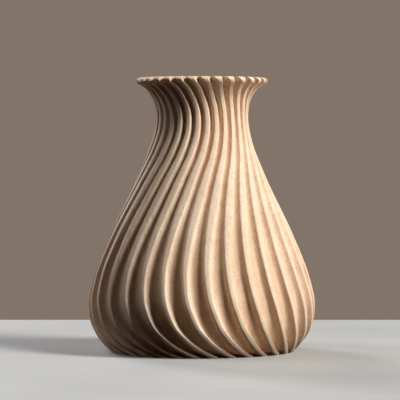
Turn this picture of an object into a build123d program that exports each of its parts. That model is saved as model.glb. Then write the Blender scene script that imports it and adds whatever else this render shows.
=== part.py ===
from build123d import *
import math
import os

# A ribbed vase, printed in one piece: a pear-shaped belly, a narrow neck and a flared mouth.
# Millimetres, +Z up, origin at the middle of the foot, on the surface that the vase stands on.

height = 180.0          # overall
rib_count = 31
wall = 2.4              # wall behind the bottom of the grooves
floor = 3.0             # floor of the hollow
lip_base = 176.4        # where the flare ends and the upright lip begins
crest_rise = 0.45       # rise of a rib's rounded crest above the crest's edges
root_depth = 1.0        # how far each rib runs into the wall, so that the two are one solid

# Stations up the vase. From the foot: deep ribs whose ends stand clear as feet, slimmer ribs on
# the belly, broad shallow ones on the shoulder, the neck, the flare, and wide teeth round the lip.
# Columns: height, crest radius, swirl round the axis in degrees, rib width at half its depth,
# sideways reach of a rib's flank, and groove depth along the radius.
stations = [
    (0, 60.4, 8.2, 7.4, 2.0, 9.9),
    (3, 63.5, 1.9, 6.7, 2.0, 7.3),
    (7, 67.0, -3.8, 6.0, 2.0, 6.0),
    (15, 71.9, -10.8, 5.3, 2.0, 5.4),
    (30, 74.6, -17.1, 4.8, 2.0, 5.1),
    (50, 70.8, -20.3, 5.2, 2.1, 4.8),
    (75, 61.0, -19.2, 6.5, 2.3, 4.1),
    (105, 46.8, -11.8, 7.1, 2.1, 3.3),
    (118, 40.9, -6.5, 6.1, 1.9, 3.1),
    (130, 36.0, 0.0, 5.2, 1.7, 3.0),
    (148, 31.1, 6.6, 4.4, 1.4, 2.8),
    (158, 30.7, 5.6, 4.4, 1.4, 3.0),
    (168, 33.5, -0.3, 4.4, 1.4, 3.7),
    (173, 37.3, -3.8, 4.2, 1.4, 4.5),
    (175.2, 40.3, -5.6, 4.1, 1.3, 5.0),
    (lip_base, 42.5, -6.8, 4.4, 1.2, 5.1),
    (177.4, 43.1, -7.6, 4.9, 1.2, 4.9),
    (height, 42.8, -9.6, 6.6, 1.2, 4.0),
]
crest_column, swirl_column, width_column, reach_column, depth_column = range(1, 6)


def at_height(column, h):
    """One column of the stations at any height, on a smooth curve through them."""
    last = len(stations) - 1

    def secant(k):
        return (stations[k + 1][column] - stations[k][column]) / (stations[k + 1][0] - stations[k][0])

    def slope(k):
        if k == 0:
            return 2 * secant(0) - slope(1)
        if k == last:
            return 2 * secant(last - 1) - slope(last - 1)
        below = stations[k][0] - stations[k - 1][0]
        above = stations[k + 1][0] - stations[k][0]
        return (secant(k - 1) * above + secant(k) * below) / (below + above)

    i = max(k for k in range(last) if stations[k][0] <= h)
    span = stations[i + 1][0] - stations[i][0]
    t = (h - stations[i][0]) / span
    start = (2 * t**3 - 3 * t**2 + 1) * stations[i][column] + (t**3 - 2 * t**2 + t) * span * slope(i)
    end = (3 * t**2 - 2 * t**3) * stations[i + 1][column] + (t**3 - t**2) * span * slope(i + 1)
    return start + end


def groove_radius(h):
    return at_height(crest_column, h) - at_height(depth_column, h)


def rib_section(h):
    """One rib's outline at height h, in a frame whose x axis runs out along the rib."""
    crest = at_height(crest_column, h)
    width = at_height(width_column, h)
    reach = at_height(reach_column, h)
    edge = crest - crest_rise
    root = groove_radius(h) - root_depth
    half_crest = width / 2 - 0.3 * reach
    half_root = width / 2 + 0.3 * reach
    angle = math.radians(at_height(swirl_column, h) - 90)
    outward = (math.cos(angle), math.sin(angle), 0)
    with BuildSketch(Plane(origin=(0, 0, h), x_dir=outward, z_dir=(0, 0, 1))) as section:
        with BuildLine():
            ThreePointArc((edge, half_crest), (crest, 0), (edge, -half_crest))
            Polyline((edge, -half_crest), (root, -half_root), (root, half_root), (edge, half_crest))
        make_face()
    return section.sketch


def outline(inset, heights):
    """Half of a body of revolution, inset from the bottom of the grooves, closed at the axis."""
    body = [h for h in heights if h <= lip_base]
    lip = [h for h in heights if h >= lip_base]
    with BuildLine() as line:
        Spline(*[(groove_radius(h) - inset, h) for h in body])
        Spline(*[(groove_radius(h) - inset, h) for h in lip])
        top, bottom = (groove_radius(heights[-1]) - inset, heights[-1]), heights[0]
        Polyline(top, (0, heights[-1]), (0, bottom), (groove_radius(bottom) - inset, bottom))
    return line.line


body_heights = [0, 1.5, 3, 5, 8, 12, 18, 24, 31, 40, 50, 62, 75, 90, 105, 118, 130, 140, 148, 153, 158,
                163, 168, 171, 173, 174.3, 175.2, lip_base]
lip_heights = [lip_base, 177.4, 178.6, height]
all_heights = body_heights + lip_heights[1:]

# One rib: the swirled length up to the lip, then its tooth on the lip.
with BuildPart() as rib:
    loft([rib_section(h) for h in body_heights])
    loft([rib_section(h) for h in lip_heights])

with BuildPart() as vase:
    # The body behind the grooves, with the ribs round it.
    with BuildSketch(Plane.XZ):
        make_face(outline(0, all_heights).edges())
    revolve(axis=Axis.Z)
    with PolarLocations(0, rib_count):
        add(rib.part)
    # The smooth hollow, open at the mouth.
    with BuildSketch(Plane.XZ):
        make_face(outline(wall, [floor] + [h for h in all_heights if h > floor]).edges())
    revolve(axis=Axis.Z, mode=Mode.SUBTRACT)

vase.part.label = "vase"
os.makedirs("parts", exist_ok=True)
export_step(vase.part, "parts/vase.step")
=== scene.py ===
import math

import bpy
import numpy as np
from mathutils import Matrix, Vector


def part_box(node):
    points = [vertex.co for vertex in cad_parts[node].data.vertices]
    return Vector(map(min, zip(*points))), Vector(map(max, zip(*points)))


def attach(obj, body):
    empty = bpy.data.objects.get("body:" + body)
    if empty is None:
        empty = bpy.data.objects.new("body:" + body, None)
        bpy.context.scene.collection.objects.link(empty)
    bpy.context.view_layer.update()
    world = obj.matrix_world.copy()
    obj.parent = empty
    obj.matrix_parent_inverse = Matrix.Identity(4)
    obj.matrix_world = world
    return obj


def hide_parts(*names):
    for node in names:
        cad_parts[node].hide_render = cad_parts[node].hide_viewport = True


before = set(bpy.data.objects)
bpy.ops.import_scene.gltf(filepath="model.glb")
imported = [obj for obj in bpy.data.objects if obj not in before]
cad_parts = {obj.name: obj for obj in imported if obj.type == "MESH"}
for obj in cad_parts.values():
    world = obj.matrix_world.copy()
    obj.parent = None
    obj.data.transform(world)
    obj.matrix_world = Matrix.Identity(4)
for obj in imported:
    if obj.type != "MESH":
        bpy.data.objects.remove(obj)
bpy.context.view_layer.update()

# A ribbed printed vase on a pale table top, lit softly, mostly from the camera's right. Blender
# units are metres. The shape is worked out in millimetres, as part.py has it, and scaled when its
# mesh is made.

MM = 0.001
cad_low, cad_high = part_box("vase")

# ---- the vase's shape, in millimetres --------------------------------------------------------

HEIGHT = (cad_high.z - cad_low.z) / MM
RIBS = 31
WALL = 2.4              # wall behind the bottom of the grooves
FLOOR = 3.0             # floor of the hollow
LIP_ROUND = 1.8         # rounding of the teeth at the top
MOUTH_ROUND = 0.5       # rounding of the mouth's inner edge
FOOT_ROUND = 0.25       # rounding where the ribs meet the table
CORNER_ROUND = 4.0      # fillet between the hollow's wall and its floor
SCOOP = 0.3             # share of a groove's depth that is a wide hollow between its flanks
EDGE_SHARPNESS = 0.65   # under 1 tightens a rib's crest edges and widens the curve at its root
ROOT_LIMIT = 0.48       # the furthest that a rib's root spreads, as a share of the pitch
CROWN_LIMIT = 1.6       # where the crest's crown stops falling, in half rib widths

# The mesh's columns across half a rib, as shares of its crest, its flank and the groove.
CREST_COLUMNS = (0, 0.55, 0.9)
FLANK_COLUMNS = (0.07, 0.18, 0.35, 0.6, 1)
GROOVE_COLUMNS = (0.33, 0.67, 1)

# The mesh's rows. Outside, they run over the foot's rounding, from FOOT_START to FOOT_TOP, on to
# LIP_BOTTOM, to LIP_GAP below the lip's rounding, and over that. Inside, they run over the mouth's
# rounding, from HOLLOW_START below the top to the corner with the floor, and round that.
FOOT_START = 0.8
FOOT_TOP = 8
LIP_BOTTOM = 172
LIP_GAP = 0.4
HOLLOW_START = 4
ROUNDING_ROWS = 6
FOOT_ROWS = 11
BODY_ROWS = 90
LIP_ROWS = 18
MOUTH_ROWS = 5
HOLLOW_ROWS = 16
CORNER_ROWS = 6

SHARP_ANGLE = 60        # edges that turn by more than this many degrees stay sharp
PLAIN_RELIEF = 0.5      # the relief of the inside and the underside, neither crest nor groove

# Stations up the vase: height, crest radius, swirl in degrees, rib width, sideways reach of a
# rib's flank, groove depth, and how much the crest is crowned, as a share of the depth.
STATIONS = np.array([
    (0, 60.4, 8.2, 7.4, 2.0, 9.9, 0.07),
    (3, 63.5, 1.9, 6.7, 2.0, 7.3, 0.07),
    (7, 67.0, -3.8, 6.0, 2.0, 6.0, 0.07),
    (15, 71.9, -10.8, 5.3, 2.0, 5.4, 0.07),
    (30, 74.6, -17.1, 4.8, 2.0, 5.1, 0.07),
    (50, 70.8, -20.3, 5.2, 2.1, 4.8, 0.08),
    (75, 61.0, -19.2, 6.5, 2.3, 4.1, 0.10),
    (105, 46.8, -11.8, 7.1, 2.1, 3.3, 0.15),
    (118, 40.9, -6.5, 6.1, 1.9, 3.1, 0.15),
    (130, 36.0, 0.0, 5.2, 1.7, 3.0, 0.15),
    (148, 31.1, 6.6, 4.4, 1.4, 2.8, 0.12),
    (158, 30.7, 5.6, 4.4, 1.4, 3.0, 0.10),
    (168, 33.5, -0.3, 4.4, 1.4, 3.7, 0.08),
    (173, 37.3, -3.8, 4.2, 1.4, 4.5, 0.07),
    (175.2, 40.3, -5.6, 4.1, 1.3, 5.0, 0.06),
    (176.4, 42.5, -6.8, 4.4, 1.2, 5.1, 0.05),
    (177.4, 43.1, -7.6, 4.9, 1.2, 4.9, 0.04),
    (180, 42.8, -9.6, 6.6, 1.2, 4.0, 0.03),
])


def at_height(heights):
    """Every column of STATIONS at these heights, on a smooth curve through the stations."""
    z, values = STATIONS[:, 0], STATIONS[:, 1:]
    gap = np.diff(z)[:, None]
    secant = np.diff(values, axis=0) / gap
    inner = (secant[:-1] * gap[1:] + secant[1:] * gap[:-1]) / (gap[:-1] + gap[1:])
    slope = np.vstack([2 * secant[0] - inner[0], inner, 2 * secant[-1] - inner[-1]])
    i = np.clip(np.searchsorted(z, heights, side="right") - 1, 0, len(z) - 2)
    step = gap[i]
    t = (heights[:, None] - z[i][:, None]) / step
    start = (2 * t**3 - 3 * t**2 + 1) * values[i] + (t**3 - 2 * t**2 + t) * step * slope[i]
    end = (3 * t**2 - 2 * t**3) * values[i + 1] + (t**3 - t**2) * step * slope[i + 1]
    return (start + end).T


def flank_edges(pitch, width, reach):
    """Where a rib's flank starts and ends, measured sideways from the rib's middle."""
    crest_edge = width / 2 - reach / 2
    root_edge = np.minimum(width / 2 + reach / 2, ROOT_LIMIT * pitch)
    return crest_edge, root_edge


def rib_relief(offset, pitch, width, reach, crown):
    """The relief at this sideways offset from a rib's middle: 1 there and 0 midway between ribs."""
    crest_edge, root_edge = flank_edges(pitch, width, reach)
    down = np.clip((offset - crest_edge) / (root_edge - crest_edge), 0, 1) ** EDGE_SHARPNESS
    flank = 1 - down * down * (3 - 2 * down)
    across = np.clip(offset / (width / 2), 0, CROWN_LIMIT)
    to_middle = np.clip((offset - crest_edge) / (pitch / 2 - crest_edge), 0, 1)
    scoop = (1 - to_middle) ** 2
    return (1 - SCOOP) * flank * (1 - crown * across**2) + SCOOP * scoop


def column_offsets(pitch, width, reach):
    """Where the mesh's columns stand across half a rib, closest together on its edges."""
    crest_edge, root_edge = flank_edges(pitch, width, reach)
    on_crest = [crest_edge * share for share in CREST_COLUMNS]
    on_flank = [crest_edge + (root_edge - crest_edge) * share for share in FLANK_COLUMNS]
    in_groove = [root_edge + (pitch / 2 - root_edge) * share for share in GROOVE_COLUMNS]
    return np.stack(on_crest + on_flank + in_groove, axis=-1)


def round_over(distance, radius):
    """How far a rounded edge has drawn in, at this distance below the edge."""
    inside = np.clip(1 - distance / radius, 0, 1)
    return radius * (1 - np.sqrt(1 - inside**2))


def outside_rings(heights):
    """Rings of points up the ribbed outside, the last ring's angles, and each point's relief."""
    crest, swirl, width, reach, depth, crown = [c[:, None] for c in at_height(heights)]
    pitch = 2 * math.pi * crest / RIBS
    half = column_offsets(pitch[:, 0], width[:, 0], reach[:, 0])
    offsets = np.concatenate([-half[:, -2:0:-1], half], axis=1)
    relief = rib_relief(np.abs(offsets), pitch, width, reach, crown)
    inset = round_over(HEIGHT - heights, LIP_ROUND) + round_over(heights, FOOT_ROUND)
    radius = crest - depth * (1 - relief) - inset[:, None]
    rib = np.repeat(np.arange(RIBS), offsets.shape[1])
    angle = 2 * math.pi * rib / RIBS + np.tile(offsets / crest, RIBS)
    angle = angle + np.radians(swirl) - math.pi / 2
    radius, relief = np.tile(radius, RIBS), np.tile(relief, RIBS)
    up = np.broadcast_to(heights[:, None], radius.shape)
    rings = np.stack([radius * np.cos(angle), radius * np.sin(angle), up], axis=-1)
    return rings, angle[-1], relief


def inside_rings(angle):
    """Rings of points from the mouth's inner edge down the hollow and round into its floor."""
    down = MOUTH_ROUND * (1 - np.cos(np.linspace(0, math.pi / 2, MOUTH_ROWS)))
    below_mouth = np.linspace(HEIGHT - HOLLOW_START, FLOOR + CORNER_ROUND, HOLLOW_ROWS)
    wall = np.concatenate([HEIGHT - down, below_mouth])
    crest, _, _, _, depth, _ = at_height(wall)
    radius = crest - depth - WALL + round_over(HEIGHT - wall, MOUTH_ROUND)
    turn = np.linspace(0, math.pi / 2, CORNER_ROWS)[1:]
    corner_radius = radius[-1] - CORNER_ROUND * (1 - np.cos(turn))
    corner = FLOOR + CORNER_ROUND * (1 - np.sin(turn))
    radius = np.concatenate([radius, corner_radius])[:, None]
    up = np.broadcast_to(np.concatenate([wall, corner])[:, None], (len(radius), len(angle)))
    return np.stack([radius * np.cos(angle), radius * np.sin(angle), up], axis=-1)


def vase_heights():
    """Heights of the outside's rings, closest together at the foot and on the lip."""
    rounding = 1 - np.cos(np.linspace(0, math.pi / 2, ROUNDING_ROWS))
    foot, lip = FOOT_ROUND * rounding, HEIGHT - LIP_ROUND * rounding[::-1]
    near_foot = np.linspace(FOOT_START, FOOT_TOP, FOOT_ROWS)
    body = np.linspace(FOOT_TOP, LIP_BOTTOM, BODY_ROWS)[1:-1]
    near_lip = np.linspace(LIP_BOTTOM, HEIGHT - LIP_ROUND - LIP_GAP, LIP_ROWS)
    return np.concatenate([foot, near_foot, body, near_lip, lip])


def make_vase():
    """One closed mesh: up the outside, over the lip, down the hollow, its floor and the foot."""
    outside, angle, relief = outside_rings(vase_heights())
    inside = inside_rings(angle)
    rings = np.concatenate([outside, inside])
    rows, count = rings.shape[:2]
    relief = np.concatenate([relief, np.full(inside.shape[:2], PLAIN_RELIEF)])
    relief = np.append(relief.ravel(), [PLAIN_RELIEF, PLAIN_RELIEF])
    row, column = np.meshgrid(np.arange(rows - 1), np.arange(count), indexing="ij")
    beside = (column + 1) % count
    this_row, next_row = row * count, (row + 1) * count
    corners = [this_row + column, this_row + beside, next_row + beside, next_row + column]
    quads = np.stack(corners, axis=-1).reshape(-1, 4)
    around = np.arange(count)
    onward = (around + 1) % count
    top = (rows - 1) * count
    under_middle, floor_middle = rows * count, rows * count + 1
    underside = np.stack([onward, around, np.full(count, under_middle)], axis=1)
    hollow_floor = np.stack([top + around, top + onward, np.full(count, floor_middle)], axis=1)
    points = np.concatenate([rings.reshape(-1, 3), [[0, 0, 0], [0, 0, FLOOR]]]) * MM
    faces = quads.tolist() + underside.tolist() + hollow_floor.tolist()
    mesh = bpy.data.meshes.new("vase_body")
    mesh.from_pydata(points.tolist(), [], faces)
    mesh.polygons.foreach_set("use_smooth", [True] * len(mesh.polygons))
    mesh.set_sharp_from_angle(angle=math.radians(SHARP_ANGLE))
    store = mesh.attributes.new("relief", "FLOAT", "POINT")
    store.data.foreach_set("value", relief.astype(np.float32))
    vase = bpy.data.objects.new("vase_body", mesh)
    bpy.context.collection.objects.link(vase)
    return vase


# ---- materials -------------------------------------------------------------------------------

TAN = (0.79, 0.575, 0.41)
# Both a random paler tone in the mottle and the painted highlight on the crests.
PALE_TONE_AND_CREST_HIGHLIGHT = (0.87, 0.68, 0.505)
# Both a random warm tone in the streaks and the painted warm shade in the grooves.
WARM_TONE_AND_GROOVE_SHADE = (0.60, 0.34, 0.18)
TAN_DARK = (0.45, 0.29, 0.18)
PALE_TABLE = (0.50, 0.50, 0.49)
PALE_TABLE_LIGHT = (0.56, 0.56, 0.55)

LAYER = 0.25 * MM           # height of one printed layer
LAYER_DEPTH = 0.03 * MM
GRAIN_DEPTH = 0.15 * MM
TABLE_GRAIN_DEPTH = 0.1 * MM
PLASTIC_ROUGHNESS = (0.56, 0.74)    # on the grain's low and high spots
PLASTIC_SPECULAR = 0.35
TABLE_ROUGHNESS = 0.65

# Scales of the patterns, in cells to the metre: 45 makes patches about 20 mm across and 1500
# makes grains well under a millimetre.
MOTTLE_SCALE = 45
STREAK_SCALES = (500, 500, 60)      # fine across, long up the vase
FLECK_SCALE = 900
GRAIN_SCALE = 1500
TABLE_MOTTLE_SCALE = 9
TABLE_GRAIN_SCALE = 900


def new_material(name):
    material = bpy.data.materials.new(name)
    material.use_nodes = True
    tree = material.node_tree
    return material, tree, tree.nodes["Principled BSDF"]


def noise(tree, coordinates, scale, detail=2.0, roughness=0.5):
    node = tree.nodes.new("ShaderNodeTexNoise")
    node.inputs["Scale"].default_value = scale
    node.inputs["Detail"].default_value = detail
    node.inputs["Roughness"].default_value = roughness
    tree.links.new(coordinates, node.inputs["Vector"])
    return node.outputs["Fac"]


def remap(tree, value, low, high, to_low=0.0, to_high=1.0):
    """value, stretched from low..high to to_low..to_high, and held there outside it."""
    node = tree.nodes.new("ShaderNodeMapRange")
    limits = {"From Min": low, "From Max": high, "To Min": to_low, "To Max": to_high}
    for name, limit in limits.items():
        node.inputs[name].default_value = limit
    tree.links.new(value, node.inputs["Value"])
    return node.outputs["Result"]


def blend_colour(tree, amount, first, second):
    """first where amount is 0 and second where it is 1; each is a colour or a socket."""
    node = tree.nodes.new("ShaderNodeMix")
    node.data_type = "RGBA"
    # The node has sockets for every type of data: inputs 6 and 7 and output 2 are the colours.
    tree.links.new(amount, node.inputs["Factor"])
    for socket, colour in ((node.inputs[6], first), (node.inputs[7], second)):
        if isinstance(colour, tuple):
            socket.default_value = (*colour, 1)
        else:
            tree.links.new(colour, socket)
    return node.outputs[2]


def bump(tree, height, distance, strength, under=None):
    node = tree.nodes.new("ShaderNodeBump")
    node.inputs["Distance"].default_value = distance
    node.inputs["Strength"].default_value = strength
    tree.links.new(height, node.inputs["Height"])
    if under is not None:
        tree.links.new(under, node.inputs["Normal"])
    return node.outputs["Normal"]


def stretched(tree, coordinates, scales):
    node = tree.nodes.new("ShaderNodeMapping")
    node.inputs["Scale"].default_value = scales
    tree.links.new(coordinates, node.inputs["Vector"])
    return node.outputs["Vector"]


def layer_lines(tree, coordinates):
    """Level waves, one for each printed layer."""
    node = tree.nodes.new("ShaderNodeTexWave")
    node.bands_direction = "Z"
    # The wave turns through 20 times its scale, in radians, over a metre of height.
    node.inputs["Scale"].default_value = 2 * math.pi / (20 * LAYER)
    node.inputs["Distortion"].default_value = 0.6
    node.inputs["Detail"].default_value = 1.0
    tree.links.new(coordinates, node.inputs["Vector"])
    return node.outputs["Fac"]


def printed_plastic():
    """Matte tan plastic, laid down in fine level layers, with a sandy grain, a painted highlight on
    the crests and painted warm shade in the grooves.
    """
    material, tree, shader = new_material("printed_plastic")
    place = tree.nodes.new("ShaderNodeTexCoord").outputs["Object"]
    relief_node = tree.nodes.new("ShaderNodeAttribute")
    relief_node.attribute_name = "relief"
    relief = relief_node.outputs["Fac"]

    mottle = remap(tree, noise(tree, place, MOTTLE_SCALE, detail=4), 0.35, 0.65)
    colour = blend_colour(tree, mottle, TAN, PALE_TONE_AND_CREST_HIGHLIGHT)
    streaks = noise(tree, stretched(tree, place, STREAK_SCALES), 1, detail=3)
    colour = blend_colour(tree, remap(tree, streaks, 0.45, 0.7, 0, 0.45), colour, WARM_TONE_AND_GROOVE_SHADE)
    flecks = noise(tree, place, FLECK_SCALE, detail=1)
    colour = blend_colour(tree, remap(tree, flecks, 0.55, 0.72, 0, 0.55), colour, TAN_DARK)
    # Painted highlight: the crests are mixed towards this pale colour, as if they caught more
    # light.
    on_crest = remap(tree, relief, 0.75, 1.0, 0, 0.35)
    colour = blend_colour(tree, on_crest, colour, PALE_TONE_AND_CREST_HIGHLIGHT)
    # Painted shade: the grooves are mixed towards this warm colour, standing in for the warm shade
    # between the ribs.
    in_groove = remap(tree, relief, 0.3, -0.05, 0, 0.45)
    colour = blend_colour(tree, in_groove, colour, WARM_TONE_AND_GROOVE_SHADE)
    tree.links.new(colour, shader.inputs["Base Color"])

    grain = noise(tree, place, GRAIN_SCALE, detail=3, roughness=0.6)
    tree.links.new(remap(tree, grain, 0.3, 0.7, *PLASTIC_ROUGHNESS), shader.inputs["Roughness"])
    layer_bump = bump(tree, layer_lines(tree, place), LAYER_DEPTH, 0.5)
    grain_bump = bump(tree, grain, GRAIN_DEPTH, 0.7, layer_bump)
    tree.links.new(grain_bump, shader.inputs["Normal"])
    shader.inputs["Specular IOR Level"].default_value = PLASTIC_SPECULAR
    return material


def table_surface():
    """A pale matte table top with a faint mottle."""
    material, tree, shader = new_material("table_surface")
    place = tree.nodes.new("ShaderNodeTexCoord").outputs["Object"]
    mottle = remap(tree, noise(tree, place, TABLE_MOTTLE_SCALE, detail=5), 0.3, 0.7)
    colour = blend_colour(tree, mottle, PALE_TABLE, PALE_TABLE_LIGHT)
    tree.links.new(colour, shader.inputs["Base Color"])
    grain = bump(tree, noise(tree, place, TABLE_GRAIN_SCALE), TABLE_GRAIN_DEPTH, 0.2)
    tree.links.new(grain, shader.inputs["Normal"])
    shader.inputs["Roughness"].default_value = TABLE_ROUGHNESS
    return material


vase = make_vase()
vase.data.materials.append(printed_plastic())
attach(vase, "root")
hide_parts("vase")

# ---- table, light and camera -----------------------------------------------------------------

# Distances are measured from the vase's axis.
VIEW_DISTANCE = 1565.52 * MM
EYE_HEIGHT = 131.5 * MM
AIM_POINT = Vector((-1.188 * MM, 0, 99.528 * MM))
SENSOR_WIDTH = 36           # this and the focal length are in millimetres, as Blender has them
FOCAL_LENGTH = 213.48
TABLE_SIDE = 1400 * MM
TABLE_FRONT = 1100 * MM
TABLE_BACK = 286 * MM
VASE_MIDDLE = Vector((0, 0, HEIGHT / 2 * MM))
LIGHT_DISTANCE = 3.0
LIGHT_SIZE = 0.875
BACKDROP = (0.225, 0.175, 0.14)
AMBIENT = (0.005, 0.003, 0.002)


def make_table():
    mesh = bpy.data.meshes.new("table")
    corners = [(-TABLE_SIDE, -TABLE_FRONT, 0), (TABLE_SIDE, -TABLE_FRONT, 0),
               (TABLE_SIDE, TABLE_BACK, 0), (-TABLE_SIDE, TABLE_BACK, 0)]
    mesh.from_pydata(corners, [], [(0, 1, 2, 3)])
    mesh.materials.append(table_surface())
    table = bpy.data.objects.new("table", mesh)
    bpy.context.collection.objects.link(table)
    table.visible_diffuse = False       # the table throws no light back up under the vase


def aim(item, target):
    item.rotation_euler = (target - item.location).to_track_quat("-Z", "Y").to_euler()


def add_light(name, azimuth, elevation, power, colour):
    """A square soft light, its angles in degrees: azimuth turns from the camera towards +X."""
    light = bpy.data.lights.new(name, "AREA")
    light.size, light.energy, light.color = LIGHT_SIZE, power, colour
    item = bpy.data.objects.new(name, light)
    bpy.context.collection.objects.link(item)
    a, e = math.radians(azimuth), math.radians(elevation)
    towards = Vector((math.sin(a) * math.cos(e), -math.cos(a) * math.cos(e), math.sin(e)))
    item.location = VASE_MIDDLE + towards * LIGHT_DISTANCE
    aim(item, VASE_MIDDLE)


def set_surroundings(seen, ambient):
    """A plain backdrop colour, and the much dimmer soft light that comes from all round."""
    world = bpy.data.worlds.new("surroundings")
    world.use_nodes = True
    tree = world.node_tree
    dim = tree.nodes["Background"]
    dim.inputs["Color"].default_value = (*ambient, 1)
    backdrop = tree.nodes.new("ShaderNodeBackground")
    backdrop.inputs["Color"].default_value = (*seen, 1)
    path = tree.nodes.new("ShaderNodeLightPath")
    either = tree.nodes.new("ShaderNodeMixShader")
    tree.links.new(path.outputs["Is Camera Ray"], either.inputs["Fac"])
    tree.links.new(dim.outputs["Background"], either.inputs[1])
    tree.links.new(backdrop.outputs["Background"], either.inputs[2])
    tree.links.new(either.outputs["Shader"], tree.nodes["World Output"].inputs["Surface"])
    bpy.context.scene.world = world


def add_camera():
    camera = bpy.data.cameras.new("camera")
    camera.sensor_width = SENSOR_WIDTH
    camera.lens = FOCAL_LENGTH
    item = bpy.data.objects.new("camera", camera)
    bpy.context.collection.objects.link(item)
    item.location = (0, -VIEW_DISTANCE, EYE_HEIGHT)
    aim(item, AIM_POINT)
    bpy.context.scene.camera = item


make_table()
add_light("key_high", 60, 40, 91, (1, 1, 0.97))
add_light("key_low", 65, 4, 49, (1, 0.95, 0.91))
add_light("left", -98, 35, 15, (0.97, 0.96, 1))
add_light("high_left", -95, 64, 10.5, (1, 0.98, 0.96))
add_light("behind", -150, 22, 47, (0.97, 0.96, 1))
set_surroundings(BACKDROP, AMBIENT)
add_camera()
bpy.context.scene.view_settings.view_transform = "Standard"
